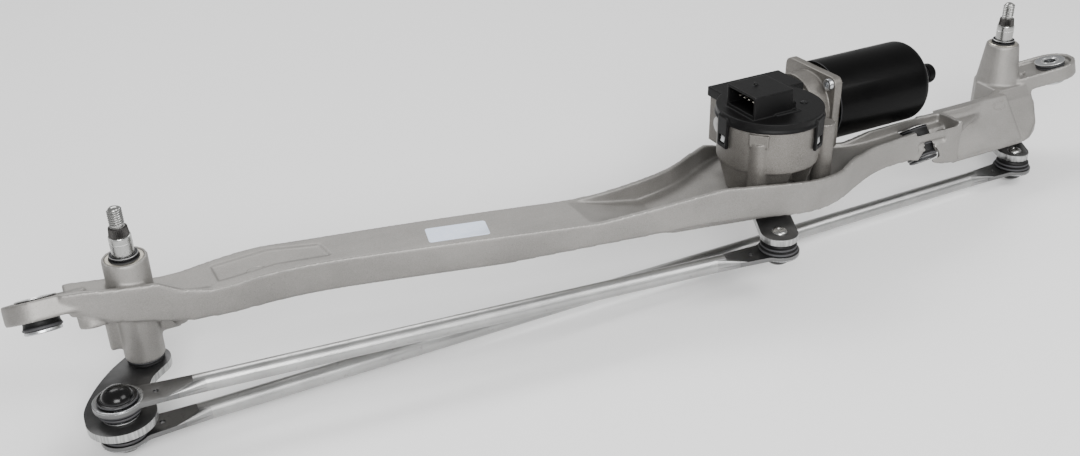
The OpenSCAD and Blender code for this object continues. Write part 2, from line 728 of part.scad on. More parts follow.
// rod along +X from ball centre to ball centre
module rod(l) {
    color([0.74, 0.75, 0.75]) difference() {
        union() {
            translate([38, 0, 0]) rotate([0, 90, 0]) cylinder(r = rod_r, h = l - 76);
            for (e = [0, 1]) translate([e * l, 0, 0]) mirror([e, 0, 0]) {
                translate([0, 0, -flat_t / 2]) linear_extrude(flat_t) union() {
                    circle(eye_r);
                    polygon([[4, -11], [11, -8.4], [30, -7.4], [30, 7.4], [11, 8.4], [4, 11]]);
                }
                hull() {
                    translate([24, -7.6, -flat_t / 2]) cube([1, 15.2, flat_t]);
                    translate([44, 0, 0]) rotate([0, 90, 0]) cylinder(r = rod_r, h = 0.5, $fn = 32);
                }
            }
        }
        translate([46, 0, 0]) rotate([0, 90, 0]) cylinder(r = rod_r - rod_wall, h = l - 92);
        for (x = [0, l]) translate([x, 0, -5]) cylinder(r = socket_r, h = 10);
        for (x = [19, l - 19]) translate([x, 0, -5]) cylinder(r = 1.5, h = 10);
    }
}

// moulded cup around a ball, domed on +Z, mouth on -Z
module ball_socket() {
    color([0.04, 0.04, 0.04]) difference() {
        union() {
            translate([0, 0, -flat_t / 2 - 2]) cylinder(r = socket_r, h = flat_t + 3.2);
            translate([0, 0, flat_t / 2]) cylinder(r = 10.6, h = 1.6);
            translate([0, 0, flat_t / 2 - 0.4]) rotate_extrude() polygon(concat([[0, 0]],
                [for (a = [0:15:90]) [8.4 * cos(a), 1.6 + 6.4 * sin(a)]]));
        }
        sphere(r = ball_r + 0.05);
        translate([0, 0, -12]) cylinder(r = 5.6, h = 12);
    }
}

// rubber boot between the rod eye and the plate, mouth on -Z
module boot(h) {
    color([0.03, 0.03, 0.03]) difference() {
        rotate_extrude() polygon([[5.4, -flat_t / 2 - 2], [socket_r, -flat_t / 2 - 2],
            [socket_r, -flat_t / 2], [11.6, -flat_t / 2], [12.2, -flat_t / 2 - 1],
            [12, -flat_t / 2 - 2], [8.6, -h + 0.7], [8.2, -h + 0.3], [5.4, -h + 0.3]]);
        sphere(r = ball_r + 0.05);
    }
}

module on_drive(x) {
    translate([arm[0], arm[1], drive_z]) rotate([0, 0, rod_ang]) translate([x, 0, 0]) children();
}
module on_link(x) { translate([arm[0] + x, arm[1], link_z]) children(); }

module drive_rod() { on_drive(0) rod(rod_len); }
module drive_rod_left_socket() { on_drive(0) ball_socket(); }
module drive_rod_left_boot() { on_drive(0) boot(ball_h - free); }
module drive_rod_crank_socket() { on_drive(rod_len) mirror([0, 0, 1]) ball_socket(); }
module drive_rod_crank_boot() { on_drive(rod_len) mirror([0, 0, 1]) boot(ball_h - free); }
module link_rod() { on_link(0) rod(spindle_gap); }
module link_rod_left_socket() { on_link(0) mirror([0, 0, 1]) ball_socket(); }
module link_rod_left_boot() { on_link(0) mirror([0, 0, 1]) boot(ball_h - free); }
module link_rod_right_socket() { on_link(spindle_gap) mirror([0, 0, 1]) ball_socket(); }
module link_rod_right_boot() { on_link(spindle_gap) mirror([0, 0, 1]) boot(ball_h - free); }

frame_casting();
left_grommet();
middle_grommet();
right_grommet();
left_sleeve();
middle_sleeve();
right_sleeve();
left_spindle_bushes();
right_spindle_bushes();
left_dust_seals();
right_dust_seals();
part_label();
gearbox_housing();
gearbox_cover();
connector_pins();
contact_plate();
output_bush();
thrust_screw();
gearbox_screws();
motor_yoke();
motor_magnets();
brush_card();
motor_bearings();
yoke_screws();
left_spindle();
left_lever();
left_double_stud();
left_collar_ring();
right_spindle();
right_lever();
right_ball_stud();
right_collar_ring();
drive_rod();
drive_rod_left_socket();
drive_rod_crank_socket();
drive_rod_left_boot();
drive_rod_crank_boot();
link_rod();
link_rod_left_socket();
link_rod_right_socket();
link_rod_left_boot();
link_rod_right_boot();
crank_arm();
crank_nut();
crank_ball_stud();
output_shaft();
worm_wheel();
armature_shaft();
armature_core();
armature_windings();
commutator();
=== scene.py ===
import json
import math
import bpy
import bmesh
import numpy as np
from mathutils import Matrix, Vector


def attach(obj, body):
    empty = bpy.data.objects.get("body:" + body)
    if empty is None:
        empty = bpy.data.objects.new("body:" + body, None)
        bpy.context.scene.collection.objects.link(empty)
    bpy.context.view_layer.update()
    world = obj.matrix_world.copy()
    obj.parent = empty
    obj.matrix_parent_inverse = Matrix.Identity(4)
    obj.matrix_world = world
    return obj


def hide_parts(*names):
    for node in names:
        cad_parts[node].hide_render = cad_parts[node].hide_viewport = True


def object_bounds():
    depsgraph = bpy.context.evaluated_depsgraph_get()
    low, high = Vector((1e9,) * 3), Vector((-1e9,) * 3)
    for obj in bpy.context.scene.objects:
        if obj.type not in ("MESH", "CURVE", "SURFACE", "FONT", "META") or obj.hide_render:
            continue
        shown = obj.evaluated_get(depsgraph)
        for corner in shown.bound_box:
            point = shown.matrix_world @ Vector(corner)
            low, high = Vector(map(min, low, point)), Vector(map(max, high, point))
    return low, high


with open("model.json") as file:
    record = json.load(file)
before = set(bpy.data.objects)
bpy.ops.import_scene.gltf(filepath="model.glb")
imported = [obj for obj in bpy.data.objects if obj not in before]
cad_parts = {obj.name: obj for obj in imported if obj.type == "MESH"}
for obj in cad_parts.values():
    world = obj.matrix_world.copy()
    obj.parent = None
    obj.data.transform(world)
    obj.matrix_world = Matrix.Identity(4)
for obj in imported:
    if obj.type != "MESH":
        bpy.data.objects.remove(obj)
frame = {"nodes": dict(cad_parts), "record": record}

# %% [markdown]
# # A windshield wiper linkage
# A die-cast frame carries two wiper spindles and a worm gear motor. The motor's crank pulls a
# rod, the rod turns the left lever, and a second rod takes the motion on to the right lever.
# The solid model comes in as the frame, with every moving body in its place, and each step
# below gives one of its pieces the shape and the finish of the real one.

MM = 0.001
cad_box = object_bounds()
print("solid model, mm:", [round((h - l) / MM, 1) for l, h in zip(*cad_box)])

# %% [markdown]
# ## Shader maths
# A finish is a small sum over noise and masks. The class below lets that sum be written as
# ordinary Python: it wraps a socket, and each operator adds one Math node.

# %% Sockets as numbers
class Sock:
    def __init__(self, tree, out):
        self.tree, self.out = tree, out

    def combine(self, op, *values):
        node = self.tree.nodes.new("ShaderNodeMath")
        node.operation = op
        for sock, value in zip(node.inputs, values):
            plug(self.tree, sock, value)
        return Sock(self.tree, node.outputs[0])

    def math(self, op, *others): return self.combine(op, self, *others)
    def __add__(self, o): return self.math("ADD", o)
    def __radd__(self, o): return self.math("ADD", o)
    def __sub__(self, o): return self.math("SUBTRACT", o)
    def __rsub__(self, o): return self.combine("SUBTRACT", o, self)
    def __mul__(self, o): return self.math("MULTIPLY", o)
    def __rmul__(self, o): return self.math("MULTIPLY", o)
    def __abs__(self): return self.math("ABSOLUTE")

    def ramp(self, low, high):
        node = self.tree.nodes.new("ShaderNodeMapRange")
        node.inputs["From Min"].default_value = low
        node.inputs["From Max"].default_value = high
        plug(self.tree, node.inputs["Value"], self)
        return Sock(self.tree, node.outputs["Result"])


def plug(tree, sock, value):
    if isinstance(value, Sock):
        tree.links.new(value.out, sock)
    else:
        sock.default_value = value


# %% [markdown]
# `Finish` owns one material. Its `node` method adds any other node: the settings first, then
# the values or links of its sockets. Patterns read Object coordinates, in metres, so a scale of
# 1000 is a grain of about a millimetre.

# %% Finish
class Finish:
    def __init__(self, name, **sockets):
        self.mat = bpy.data.materials.new(name)
        self.mat.use_nodes = True
        self.tree = self.mat.node_tree
        self.shader = self.tree.nodes["Principled BSDF"]
        for key, value in sockets.items():
            self.shader.inputs[key.replace("_", " ")].default_value = value
        self.place = self.node("ShaderNodeTexCoord")["Object"]

    def node(self, kind, settings=None, **inputs):
        node = self.tree.nodes.new(kind)
        for key, value in (settings or {}).items():
            setattr(node, key, value)
        for key, value in inputs.items():
            plug(self.tree, node.inputs[key.replace("_", " ")], value)
        return {o.name: Sock(self.tree, o) for o in node.outputs}

    def noise(self, scale, detail=3.0, rough=0.55, stretch=None):
        place = self.place
        if stretch:
            place = self.node("ShaderNodeMapping", Vector=place, Scale=stretch)["Vector"]
        return self.node("ShaderNodeTexNoise", Vector=place, Scale=scale, Detail=detail,
                         Roughness=rough)["Fac"]

    def attribute(self, name):
        return self.node("ShaderNodeAttribute", {"attribute_name": name})["Fac"]

    def mix(self, factor, a, b):
        node = self.tree.nodes.new("ShaderNodeMix")
        node.data_type = "RGBA"
        plug(self.tree, node.inputs[0], factor)
        for sock, color in ((node.inputs[6], a), (node.inputs[7], b)):
            plug(self.tree, sock, color if isinstance(color, Sock) else (*color, 1.0))
        return Sock(self.tree, node.outputs[2])

    def feed(self, **inputs):
        for key, value in inputs.items():
            plug(self.tree, self.shader.inputs[key.replace("_", " ")], value)
        return self

    def bump(self, height, strength, distance):
        return self.feed(Normal=self.node("ShaderNodeBump", Height=height, Strength=strength,
                                          Distance=distance)["Normal"])


# %% [markdown]
# ## Die-cast aluminium
# The frame is cast and then blasted, so it is a warm matte grey with a fine sandy grain, faint
# cloudy flow marks and a few dark pores. The edges of the walls are painted bright, partly as
# wear from handling and trimming and partly as a painted highlight. The edges are found on the
# mesh and kept in the attribute `edge`.

# %% Castings
def casting_finish(name, dark, light, bright, rough):
    fin = Finish(name, Metallic=0.72, IOR=1.5)
    cloud = fin.noise(26.0, 4.0, 0.6).ramp(0.36, 0.66)
    streak = fin.noise(60.0, 3.0, 0.6, (0.35, 1.0, 1.0)).ramp(0.35, 0.7)
    grain = fin.noise(2100.0, 2.0, 0.7)
    coarse = fin.noise(620.0, 2.0, 0.5)
    pores = fin.noise(950.0, 1.0, 0.4).ramp(0.72, 0.78)
    # Convex edges from `edge` are painted bright: partly wear, partly a painted highlight.
    edge = fin.attribute("edge")
    worn_and_lit = (edge * 1.15 - fin.noise(60.0, 2.0, 0.6) * 0.35).math("MAXIMUM", 0.0)
    worn_and_lit = (worn_and_lit * 0.8).math("MINIMUM", 1.0)
    body = fin.mix(cloud * 0.55 + streak * 0.3, dark, light)
    body = fin.mix(pores * 0.5, body, (0.10, 0.095, 0.09))
    body = fin.mix(grain.ramp(0.3, 0.75) * 0.22, body, (0.62, 0.61, 0.59))
    fin.feed(Base_Color=fin.mix(worn_and_lit, body, bright))
    fin.feed(Roughness=rough + cloud * 0.08 + grain * 0.12 - worn_and_lit * 0.22)
    return fin.bump(grain * 0.5 + coarse * 0.5 - pores * 0.6, 0.32, 0.00035)


cast_frame = casting_finish("cast_frame", (0.175, 0.168, 0.158), (0.26, 0.25, 0.236),
                            (0.66, 0.65, 0.62), 0.42)
cast_gearbox = casting_finish("cast_gearbox", (0.082, 0.075, 0.066), (0.155, 0.144, 0.129),
                              (0.60, 0.58, 0.55), 0.42)

# %% [markdown]
# ## Steel
# Three steels show. The levers are zinc plated under a dark film on their faces, and their cut
# edges are bright with the upright tears of the press tool. The rods are drawn tube, so their
# fine lines run along them. The spindles and studs are ground and shine.

# %% Steels
def plate_finish(name, face, rim):
    fin = Finish(name, Metallic=0.9)
    normal = fin.node("ShaderNodeTexCoord")["Normal"]
    up = abs(fin.node("ShaderNodeSeparateXYZ", Vector=normal)["Z"])
    cut = (0.62 - up).ramp(-0.02, 0.12)
    tears = fin.noise(900.0, 3.0, 0.6, (1.0, 1.0, 0.06))
    smear = fin.noise(90.0, 4.0, 0.65)
    fine = fin.noise(1600.0, 2.0, 0.5)
    edge = fin.attribute("edge")
    base = fin.mix(smear.ramp(0.35, 0.7), face, tuple(c * 1.45 for c in face))
    shine = fin.mix(tears.ramp(0.42, 0.6), tuple(c * 0.62 for c in rim), rim)
    base = fin.mix(cut, base, shine)
    # The `edge` value paints convex edges near white: partly wear, partly a painted highlight.
    fin.feed(Base_Color=fin.mix(edge * 0.75, base, (0.85, 0.86, 0.86)))
    fin.feed(Roughness=0.34 + smear * 0.12 - cut * 0.06)
    return fin.bump(tears * cut * 0.7 + fine * 0.25, 0.4, 0.0002)


def steel_finish(name, color, rough, stretch=(1.0, 1.0, 1.0), lines=0.25, spots=0.12):
    fin = Finish(name, Metallic=1.0)
    skin = fin.attribute("skin") * 0.8
    along = fin.noise(1400.0, 3.0, 0.6, stretch)
    tint = fin.noise(45.0, 4.0, 0.6).ramp(0.35, 0.7)
    marks = fin.noise(330.0, 2.0, 0.5).ramp(0.62, 0.74)
    edge = fin.attribute("edge")
    base = fin.mix(tint * 0.8, tuple(c * 0.78 for c in color), color)
    base = fin.mix(marks * spots, base, (0.16, 0.15, 0.14))
    base = fin.mix(skin, base, (0.10, 0.10, 0.10))
    # The `edge` value paints convex edges light grey: partly wear, partly a painted highlight.
    fin.feed(Base_Color=fin.mix(edge * 0.6, base, (0.80, 0.80, 0.79)))
    fin.feed(Roughness=rough + along * 0.14 + tint * 0.06 + marks * 0.15)
    return fin.bump(along, lines, 0.00012)


plate_steel = plate_finish("plate_steel", (0.085, 0.085, 0.085), (0.46, 0.465, 0.46))
rod_steel = steel_finish("rod_steel", (0.44, 0.44, 0.435), 0.25, (0.02, 1.0, 1.0), 0.3, 0.3)
ground_steel = steel_finish("ground_steel", (0.42, 0.42, 0.41), 0.16, (1.0, 1.0, 0.3), 0.2, 0.35)
zinc_steel = steel_finish("zinc_steel", (0.52, 0.53, 0.54), 0.2)
knurl_steel = steel_finish("knurl_steel", (0.075, 0.072, 0.07), 0.36)
black_oxide = steel_finish("black_oxide", (0.045, 0.045, 0.048), 0.36)
bronze = steel_finish("bronze", (0.50, 0.33, 0.16), 0.42, (1.0, 1.0, 1.0), 0.5, 0.4)
bush_steel = steel_finish("bush_steel", (0.60, 0.57, 0.50), 0.28)
copper = steel_finish("copper", (0.62, 0.25, 0.11), 0.24)

# %% [markdown]
# ## Rubber, plastic and paint
# Black pieces differ by their gloss. The boots are satin rubber with a little dust in it, the
# ball caps are glossy acetal, the gearbox cover is a glass-filled plastic with a fine etched
# grain, and the motor can wears a thick gloss paint with a soft orange peel.

# %% Blacks
def black_finish(name, tone, rough, grain, depth, dust, gloss, coat=0.0, peel=0.0):
    fin = Finish(name, Metallic=0.0, IOR=1.45, Coat_Weight=coat, Coat_Roughness=0.1,
                 Specular_IOR_Level=gloss)
    fine = fin.noise(grain, 3.0, 0.6)
    haze = fin.noise(38.0, 4.0, 0.65).ramp(0.38, 0.72)
    specks = fin.noise(1300.0, 1.0, 0.4).ramp(0.70, 0.76)
    edge = fin.attribute("edge")
    base = fin.mix(haze * dust, (tone, tone, tone * 1.04), (0.16, 0.155, 0.15))
    base = fin.mix(specks * dust * 1.6, base, (0.35, 0.34, 0.33))
    # The `edge` value paints the edges grey: partly wear, partly a painted highlight.
    fin.feed(Base_Color=fin.mix(edge * 0.25, base, (0.16, 0.16, 0.17)))
    fin.feed(Roughness=rough + haze * 0.10 + fine * 0.08)
    return fin.bump(fine * (1.0 - peel) + fin.noise(160.0, 2.0, 0.5) * peel, depth, 0.0003)


rubber = black_finish("rubber", 0.005, 0.40, 1500.0, 0.25, 0.04, 0.22)
acetal_black = black_finish("acetal_black", 0.002, 0.14, 700.0, 0.05, 0.01, 0.25, 0.1)
cover_plastic = black_finish("cover_plastic", 0.003, 0.34, 2400.0, 0.2, 0.015, 0.14)
can_paint = black_finish("can_paint", 0.0012, 0.26, 260.0, 0.05, 0.004, 0.07, 0.04, 0.6)

# %% [markdown]
# ## Small finishes
# The pale label, the pins, the board under the cover and the pieces inside the motor each get a
# plain finish with a little grain of their own.

# %% Others
def plain_finish(name, color, other, rough, scale, metal=0.0, depth=0.15):
    fin = Finish(name, Metallic=metal)
    mottled = fin.noise(scale, 4.0, 0.6)
    patch = fin.noise(scale / 14.0, 3.0, 0.6).ramp(0.35, 0.7)
    edge = fin.attribute("edge")
    base = fin.mix(mottled.ramp(0.35, 0.7) * 0.6 + patch * 0.3, color, other)
    # The `edge` value paints the edges lighter: partly wear, partly a painted highlight.
    fin.feed(Base_Color=fin.mix(edge * 0.3, base, tuple(min(1.0, c * 1.6) for c in other)))
    fin.feed(Roughness=rough + patch * 0.12)
    return fin.bump(mottled, depth, 0.00025)


label_film = plain_finish("label_film", (0.62, 0.70, 0.86), (0.74, 0.80, 0.92), 0.35, 300.0)
pin_tin = plain_finish("pin_tin", (0.62, 0.58, 0.50), (0.75, 0.72, 0.66), 0.25, 900.0, 1.0)
board_green = plain_finish("board_green", (0.02, 0.10, 0.04), (0.05, 0.19, 0.08), 0.4, 500.0)
wheel_acetal = plain_finish("wheel_acetal", (0.70, 0.66, 0.55), (0.82, 0.79, 0.70), 0.35, 700.0)
ferrite = plain_finish("ferrite", (0.035, 0.035, 0.038), (0.10, 0.10, 0.105), 0.5, 1200.0)
lamination = steel_finish("lamination", (0.30, 0.30, 0.31), 0.4, (0.01, 1.0, 1.0), 0.4, 0.2)
card_brown = plain_finish("card_brown", (0.16, 0.08, 0.04), (0.27, 0.15, 0.08), 0.5, 600.0)
print(len(bpy.data.materials), "finishes")

# %% [markdown]
# ## Helpers for meshes
# A piece is built in a bmesh, cleaned, and made an object that rides on its body. Convex edges
# are measured once, from how far each corner stands out of its neighbours, and kept as the
# attribute `edge`, which the finishes paint bright, partly as wear and partly as a painted
# highlight.

# %% Edge wear and painted highlight
MERGE = 1e-6
FLAT_OUT, WEAR_HIGHLIGHT_GAIN = 0.09, 5.0


# Convex corners get a high `edge` value, and the finishes paint them bright: partly wear, partly a
# painted highlight.
def mark_wear_and_highlight(mesh, wear_and_highlight):
    if "edge" in mesh.attributes:
        return
    n = len(mesh.vertices)
    co = np.empty(n * 3)
    no = np.empty(n * 3)
    mesh.vertices.foreach_get("co", co)
    mesh.vertices.foreach_get("normal", no)
    co, no = co.reshape(-1, 3), no.reshape(-1, 3)
    ends = np.empty(len(mesh.edges) * 2, dtype=np.int32)
    mesh.edges.foreach_get("vertices", ends)
    a, b = ends[0::2], ends[1::2]
    total, count, length = np.zeros((n, 3)), np.zeros(n), np.zeros(n)
    span = np.linalg.norm(co[a] - co[b], axis=1)
    for p, q in ((a, b), (b, a)):
        np.add.at(total, p, co[q])
        np.add.at(count, p, 1)
        np.add.at(length, p, span)
    count = np.maximum(count, 1)
    out = ((co - total / count[:, None]) * no).sum(1) / np.maximum(length / count, 1e-9)
    value = np.clip((out - FLAT_OUT) * WEAR_HIGHLIGHT_GAIN * wear_and_highlight, 0.0, 1.0)
    mesh.attributes.new("edge", "FLOAT", "POINT").data.foreach_set("value", value)


# %% Pieces
# The last argument scales the bright edges, which are partly wear and partly a painted highlight.
def piece_from_mesh(name, mesh, finish, body, replaced=(), sharp=40.0, wear_and_highlight=1.0):
    piece = bpy.data.objects.new(name, mesh)
    bpy.context.scene.collection.objects.link(piece)
    mesh.materials.clear()
    mesh.materials.append(finish.mat)
    mesh.polygons.foreach_set("use_smooth", [True] * len(mesh.polygons))
    mesh.set_sharp_from_angle(angle=math.radians(sharp))
    mark_wear_and_highlight(mesh, wear_and_highlight)
    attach(piece, body)
    if replaced:
        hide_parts(*replaced)
    return piece


def piece_from_bm(name, bm, finish, body, replaced=(), sharp=40.0):
    bmesh.ops.remove_doubles(bm, verts=bm.verts, dist=MERGE)
    bmesh.ops.recalc_face_normals(bm, faces=bm.faces)
    mesh = bpy.data.meshes.new(name)
    bm.to_mesh(mesh)
    bm.free()
    return piece_from_mesh(name, mesh, finish, body, replaced, sharp)


def node_copy(node):
    bm = bmesh.new()
    bm.from_mesh(frame["nodes"][node].data)
    bmesh.ops.remove_doubles(bm, verts=bm.verts, dist=MERGE)
    return bm


def body_of(node):
    return next(b for b, nodes in frame["record"]["behaviour"]["bodies"].items() if node in nodes)


# %% [markdown]
# Two ways turn a solid of the frame into a finished piece. `eased` merges the flat triangles
# back into faces and bevels the hard edges, which suits stamped and turned pieces. `moulded`
# suits castings and mouldings: the mesh is rebuilt from small cubes and smoothed, so every
# outer edge gets its radius and every inner corner its fillet, and then it is thinned out.

# %% Eased and moulded
FLAT, HARD = math.radians(0.6), math.radians(35.0)


def eased(node, finish, width, segments=2):
    bm = node_copy(node)
    bmesh.ops.dissolve_limit(bm, angle_limit=FLAT, verts=bm.verts, edges=bm.edges)
    hard = [e for e in bm.edges if len(e.link_faces) == 2 and e.calc_face_angle(0.0) > HARD]
    made = bmesh.ops.bevel(bm, geom=hard, offset=width * MM, offset_type="OFFSET",
                           affect="EDGES", segments=segments, profile=0.5, material=-1,
                           clamp_overlap=True)
    # Bevel faces get `edge` 1.0, so the finishes paint them bright as wear and as a painted
    # highlight.
    layer = bm.faces.layers.float.new("edge")
    for face in made["faces"]:
        if face.is_valid:
            face[layer] = 1.0
    bmesh.ops.triangulate(bm, faces=[f for f in bm.faces if len(f.verts) > 4])
    return piece_from_bm(node + "_eased", bm, finish, body_of(node), [node], 50.0)


def moulded(node, finish, voxel, rounds, keep, wear_and_highlight=1.0, extras=None):
    bm = node_copy(node)
    if extras:
        extras(bm)
    mesh = bpy.data.meshes.new(node + "_raw")
    bm.to_mesh(mesh)
    bm.free()
    raw = bpy.data.objects.new(node + "_raw", mesh)
    bpy.context.scene.collection.objects.link(raw)
    remesh = raw.modifiers.new("cubes", "REMESH")
    remesh.mode = "VOXEL"
    remesh.voxel_size = voxel * MM * 1.0
    smooth = raw.modifiers.new("round", "SMOOTH")
    smooth.factor = 0.6
    smooth.iterations = rounds
    raw.modifiers.new("thin", "DECIMATE").ratio = keep
    depsgraph = bpy.context.evaluated_depsgraph_get()
    done = bpy.data.meshes.new_from_object(raw.evaluated_get(depsgraph))
    bpy.data.objects.remove(raw)
    done.name = node + "_moulded"
    print(done.name, len(done.polygons), "faces")
    return piece_from_mesh(done.name, done, finish, body_of(node), [node], 60.0,
                           wear_and_highlight)


# %% [markdown]
# Turned pieces come from half a profile, in millimetres of radius and height, spun about an
# upright axis and then laid in place by a matrix. Segments shorter than SHORT are the rounded
# corners, which the finishes paint bright, partly as wear and partly as a painted highlight.

# %% Turned
SHORT = 0.45 * MM


def turned_bm(profile, steps=64, closed=True):
    bm = bmesh.new()
    verts = [bm.verts.new((max(r, 0.0) * MM, 0.0, z * MM)) for r, z in profile]
    edges = [bm.edges.new(pair) for pair in zip(verts, verts[1:])]
    if closed:
        edges.append(bm.edges.new((verts[-1], verts[0])))
    bmesh.ops.spin(bm, geom=verts + edges, cent=(0, 0, 0), axis=(0, 0, 1),
                   angle=2 * math.pi, steps=steps, use_merge=True)
    bmesh.ops.remove_doubles(bm, verts=bm.verts, dist=MERGE)
    layer = bm.faces.layers.float.new("edge")
    for face in bm.faces:
        run = max(math.hypot(e.verts[0].co.xy.length - e.verts[1].co.xy.length,
                             e.verts[0].co.z - e.verts[1].co.z) for e in face.edges)
        face[layer] = 1.0 if run < SHORT else 0.0
    return bm


def laid(name, bm, place, finish, body, replaced=(), sharp=40.0):
    bmesh.ops.transform(bm, matrix=place, verts=bm.verts)
    return piece_from_bm(name, bm, finish, body, replaced, sharp)


def turned(name, profile, place, finish, body, replaced=(), steps=64, closed=True):
    return laid(name, turned_bm(profile, steps, closed), place, finish, body, replaced, 35.0)


def at(x, y, z, *turns):
    place = Matrix.Translation(Vector((x, y, z)) * MM)
    for axis, degrees in turns:
        place = place @ Matrix.Rotation(math.radians(degrees), 4, axis)
    return place


def arc(cx, cz, r, start, stop, steps):
    return [(cx + r * math.cos(math.radians(start + (stop - start) * k / steps)),
             cz + r * math.sin(math.radians(start + (stop - start) * k / steps)))
            for k in range(steps + 1)]


# %% [markdown]
# Rings of any outline stacked up an axis make the rest: serrations, hexagon recesses and
# lobes. Each level is a radius and a height, and the radius may depend on the angle.

# %% Stacked rings
def stacked(levels, n):
    bm = bmesh.new()
    loops = []
    for radius, z in levels:
        ring = []
        for k in range(n):
            a = 2 * math.pi * k / n
            r = radius(k, a) if callable(radius) else radius
            ring.append(bm.verts.new((r * math.cos(a) * MM, r * math.sin(a) * MM, z * MM)))
        loops.append([bm.edges.new((ring[k], ring[(k + 1) % n])) for k in range(n)])
    for low, high in zip(loops, loops[1:]):
        bmesh.ops.bridge_loops(bm, edges=low + high)
    for loop in (loops[0], loops[-1]):
        bmesh.ops.edgenet_fill(bm, edges=loop)
    bm.faces.layers.float.new("edge")
    return bm


def hexagon(flat):
    return lambda k, a: flat / math.cos((a + math.pi / 6) % (math.pi / 3) - math.pi / 6)


def screw_head(name, place, radius, height, socket, finish, replaced=()):
    edge = min(0.35, height * 0.25)
    bm = stacked([(radius, 0.0), (radius, height - edge),
                  (radius - edge * 0.4, height - edge * 0.3), (radius - edge, height),
                  (socket + 0.5, height), (hexagon(socket), height - 0.3),
                  (hexagon(socket), height * 0.35), (socket * 0.3, height * 0.2)], 48)
    return laid(name, bm, place, finish, "frame", replaced, 30.0)


# %% [markdown]
# ## Where things are
# The numbers below are the stations of the solid model in millimetres: spindle axes, the gear
# axis, the motor axis, the heights of levers and rods, and the ball joints. Each mount has its
# own frame, and the depth of rubber under its ear.

# %% Stations
span = 636.0
gear = Vector((388.0, -43.0, 0.0))
motor_axis = (-12.4, -3.6)
lever_top, lever_bot = -66.0, -70.5
link_z, drive_z = -79.0, -57.5
arm = Vector((-21.9186, -44.9397))
crank_ball = gear.xy + arm
pads = {"left": (at(-47, 7, -22, ("X", -27)), 8.5),
        "middle": (at(span - 110, -35, -43.5, ("X", -40)), 9.0),
        "right": (at(span + 43, -11, -26, ("Y", -10), ("X", -9)), 6.0)}
print("drive rod", round((crank_ball - arm).length, 2), "mm between its balls")

# %% [markdown]
# ## The frame casting
# One pressure die casting: a ribbed trough from boss to boss with three eared rubber mounts.
# Dies leave fillets in every corner, so the solid is rebuilt from cubes under a millimetre and
# smoothed. Small raised ovals are the marks of the ejector pins and the foundry.

# %% Casting
frame_piece = moulded("frame_casting", cast_frame, 0.8, 9, 0.36)


def oval_mark(name, start, direction, width, height):
    found, spot, normal, _ = frame_piece.ray_cast(Vector(start) * MM,
                                                  Vector(direction).normalized())
    assert found, name
    lay = normal.to_track_quat("Z", "Y").to_matrix().to_4x4()
    ring = turned_bm([(0.0, 0.1), (0.62, 0.1), (0.68, -0.3), (0.76, -0.3), (0.82, 0.22),
                      (0.95, 0.24), (1.02, -0.6), (0.0, -0.6)], 48, False)
    # The marks get `edge` 0, so they carry no painted edge highlight and no wear.
    wear_and_highlight = ring.faces.layers.float["edge"]
    for face in ring.faces:
        face[wear_and_highlight] = 0.0
    size = Matrix.Diagonal((width / 2, height / 2, 1.0, 1.0))
    return laid(name, ring, Matrix.Translation(spot) @ lay @ size, cast_frame, "frame")


oval_mark("frame_mark_block", (598.0, -120.0, -40.0), (0.12, 1.0, 0.06), 14, 7)
oval_mark("frame_mark_beam", (66.0, -5.0, 40.0), (0.0, 0.0, -1.0), 12, 7)

# %% [markdown]
# The label is a thin blank film on the beam, and only its four upright edges are rounded.

# %% Label
bm = node_copy("part_label")
corners = [e for e in bm.edges if abs((e.verts[0].co - e.verts[1].co).normalized().z) > 0.9
           and e.calc_face_angle(0.0) > 1.0]
label_corner = 1.6 * MM
bmesh.ops.bevel(bm, geom=corners, offset=label_corner, affect="EDGES", segments=5, profile=0.5,
                material=-1)
piece_from_bm("label", bm, label_film, "frame", ["part_label"])

# %% [markdown]
# ## Rubber mounts
# Each mount is a steel sleeve in a waisted rubber grommet, held in its ear like a button. The
# washers are pressed from the same zinc-plated steel as the sleeve, but the middle mount's are
# blackened, and its rubber stands higher.

# %% Mounts
for side, (place, under) in pads.items():
    low, foot = -2.0 - under, -3.0 - under
    top = 4.1 if side == "middle" else 0.0
    turned(f"{side}_rubber", [
        (6.05, 5.3 + top), (9.3, 5.3 + top), *arc(9.5, 4.4 + top, 0.9, 90, 0, 4),
        (10.35, 3.9 + top), (9.9, 3.6 + top * 0.7), (9.9, 3.3 + top * 0.5),
        *arc(9.6, 2.75, 0.7, 30, -90, 5), (8.6, 2.0), (7.9, 1.2), (7.9, -1.2), (8.6, -2.02),
        (9.6, -2.05), *arc(9.6, -2.85, 0.8, 80, -60, 5),
        (9.5, low * 0.5 - 1.2), (9.5, low * 0.5 - 1.8), *arc(9.5, low + 1.0, 0.9, 60, -90, 6),
        (6.05, low + 0.05)], place, rubber, "frame", [f"{side}_grommet"])
    turned(f"{side}_steel", [
        (4.6, 6.4 + top), (5.6, 6.4 + top), (5.85, 6.15 + top), (6.15, 6.15 + top),
        (6.4, 6.4 + top), (10.3, 6.4 + top), *arc(10.4, 6.05 + top, 0.35, 90, -60, 4),
        (10.2, 5.45 + top), (6.05, 5.4 + top), (6.0, foot + 1.0),
        (9.4, foot + 1.0), *arc(9.3, foot + 0.5, 0.5, 90, 0, 4), (9.8, foot - 0.4),
        (9.5, foot - 0.8), (8.9, foot - 1.0), (4.6, foot - 1.0), (4.3, foot - 0.7),
        (4.25, foot - 0.2), (4.25, 5.8 + top), (4.3, 6.15 + top)],
        place, black_oxide if side == "middle" else zinc_steel, "frame", [f"{side}_sleeve"])

# %% [markdown]
# ## Spindles
# A ground 12 mm shaft, a serrated cone that bites into the wiper arm, and an M8 thread rolled
# on the tip. The thread is one V carried up a helix, and it overlaps the core it sits on.

